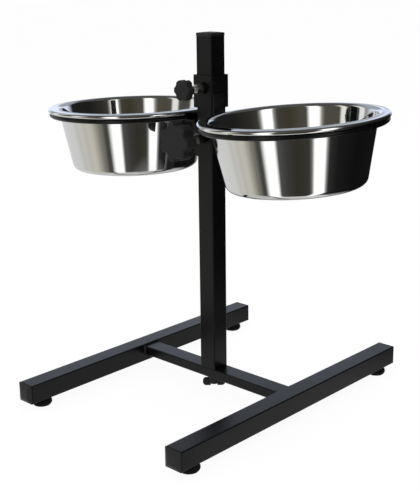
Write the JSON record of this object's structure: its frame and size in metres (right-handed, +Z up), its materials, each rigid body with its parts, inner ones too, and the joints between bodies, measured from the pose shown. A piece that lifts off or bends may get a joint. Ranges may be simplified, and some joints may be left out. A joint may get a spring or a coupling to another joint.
{
  "type": "dog bowl stand",
  "caption": "Raised feeding stand: H-shaped square-tube base, square column, clamped sleeves whose wire rings hold removable steel bowls at an adjustable height.",
  "frame": {"origin": "on the floor, below the column's axis, at the middle of the base", "axes": "+X along the cross bar towards the right bowl, +Y along the legs to the rear, away from the clamp knobs, +Z up"},
  "size_m": [0.4931, 0.426, 0.4675],
  "materials": {
    "black_coat": "semi-gloss powder coat",
    "cap_plastic": "satin",
    "knob_plastic": "matte",
    "foot_rubber": "matte",
    "zinc": "zinc plated",
    "plug_steel": "plain",
    "bowl_steel": "polished stainless"
  },
  "bodies": {
    "base": {"left_leg": "black_coat", "right_leg": "black_coat", "cross_bar": "black_coat", "frame_welds": "black_coat", "column": "black_coat", "column_plug": "plug_steel", "column_cap": "cap_plastic", "front_left_cap": "cap_plastic", "front_right_cap": "cap_plastic", "rear_left_cap": "cap_plastic", "rear_right_cap": "cap_plastic", "front_left_foot": "foot_rubber", "front_right_foot": "foot_rubber", "rear_left_foot": "foot_rubber", "rear_right_foot": "foot_rubber", "foot_screws": "zinc", "base_washer": "zinc"},
    "upper_carrier": {"upper_sleeve": "black_coat", "upper_nut": "zinc", "right_bracket": "black_coat", "right_ring": "black_coat"},
    "upper_clamp_stud": {"upper_stud": "zinc"},
    "upper_clamp_knob": {"upper_knob": "knob_plastic"},
    "right_bowl_body": {"right_bowl": "bowl_steel"},
    "lower_carrier": {"lower_sleeve": "black_coat", "lower_nut": "zinc", "left_bracket": "black_coat", "left_ring": "black_coat"},
    "lower_clamp_stud": {"lower_stud": "zinc"},
    "lower_clamp_knob": {"lower_knob": "knob_plastic"},
    "left_bowl_body": {"left_bowl": "bowl_steel"},
    "base_clamp_screw": {"base_screw": "zinc"},
    "base_clamp_knob": {"base_wing_knob": "knob_plastic"}
  },
  "joints": [
    {"name": "upper_carrier_slide", "type": "slide", "parent": "base", "child": "upper_carrier", "axis": [0, 0, 1], "range_m": [-0.16, 0.045]},
    {"name": "lower_carrier_slide", "type": "slide", "parent": "upper_carrier", "child": "lower_carrier", "axis": [0, 0, 1], "range_m": [-0.08, 0]},
    {"name": "right_bowl_lift", "type": "slide", "parent": "upper_carrier", "child": "right_bowl_body", "axis": [0, 0, 1], "range_m": [0, 0.1]},
    {"name": "left_bowl_lift", "type": "slide", "parent": "lower_carrier", "child": "left_bowl_body", "axis": [0, 0, 1], "range_m": [0, 0.1]},
    {"name": "upper_clamp_travel", "type": "slide", "parent": "upper_carrier", "child": "upper_clamp_stud", "axis": [0, -1, 0], "range_m": [0, 0.002]},
    {"name": "upper_clamp_turn", "type": "hinge", "parent": "upper_clamp_stud", "child": "upper_clamp_knob", "pos_m": [0, -0.0475, 0.401], "axis": [0, -1, 0], "range_deg": [0, 720]},
    {"name": "lower_clamp_travel", "type": "slide", "parent": "lower_carrier", "child": "lower_clamp_stud", "axis": [0, -1, 0], "range_m": [0, 0.0025]},
    {"name": "lower_clamp_turn", "type": "hinge", "parent": "lower_clamp_stud", "child": "lower_clamp_knob", "pos_m": [0, -0.0605, 0.3405], "axis": [0, -1, 0], "range_deg": [0, 720]},
    {"name": "base_clamp_travel", "type": "slide", "parent": "base", "child": "base_clamp_screw", "axis": [0, 0, -1], "range_m": [0, 0.0025]},
    {"name": "base_clamp_turn", "type": "hinge", "parent": "base_clamp_screw", "child": "base_clamp_knob", "pos_m": [0, 0, 0.01], "axis": [0, 0, -1], "range_deg": [0, 720]}
  ],
  "couplings": [
    {"joint": "upper_clamp_turn", "follows": "upper_clamp_travel", "rad_per_m": 6283.2},
    {"joint": "lower_clamp_turn", "follows": "lower_clamp_travel", "rad_per_m": 5026.5},
    {"joint": "base_clamp_turn", "follows": "base_clamp_travel", "rad_per_m": 5026.5}
  ]
}
